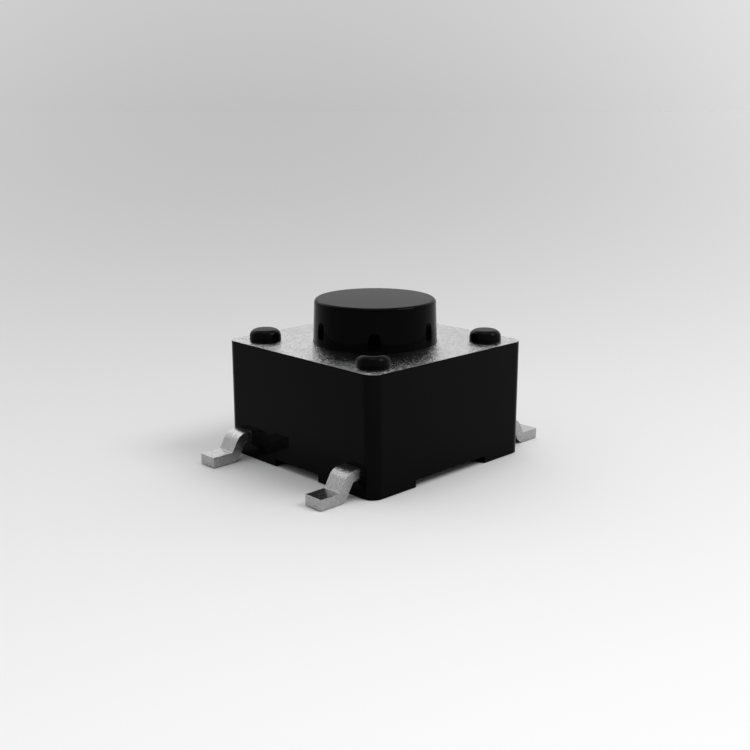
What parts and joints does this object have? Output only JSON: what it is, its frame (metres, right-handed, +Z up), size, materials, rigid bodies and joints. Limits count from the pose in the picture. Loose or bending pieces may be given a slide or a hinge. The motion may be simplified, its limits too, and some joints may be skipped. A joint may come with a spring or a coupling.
{
  "type": "tactile push button switch",
  "caption": "Square surface-mount tactile switch: black moulded housing, flat steel cover held by pegs, round sprung plunger and gull-wing solder leads.",
  "frame": {"origin": "middle of the switch on the circuit board's surface, under the plunger's axis", "axes": "+X along the lead strips, out of one lead side; +Y across the two strips, towards the outer contact; +Z up from the board along the plunger"},
  "size_m": [0.0088, 0.006, 0.0045],
  "materials": {
    "housing_plastic": "gloss",
    "plunger_plastic": "gloss",
    "cover_steel": "satin",
    "plated_contact": "satin, silver plated",
    "spring_steel": "gloss"
  },
  "bodies": {
    "housing": {"base": "housing_plastic", "cover_plate": "cover_steel", "snap_dome": "spring_steel", "outer_contact": "plated_contact", "centre_contact": "plated_contact"},
    "button": {"plunger": "plunger_plastic"}
  },
  "joints": [
    {"name": "plunger_press", "type": "slide", "parent": "housing", "child": "button", "axis": [0, 0, -1], "range_m": [0, 0.00025], "stiffness_N_per_m": 6300, "deforming": ["snap_dome"]}
  ]
}
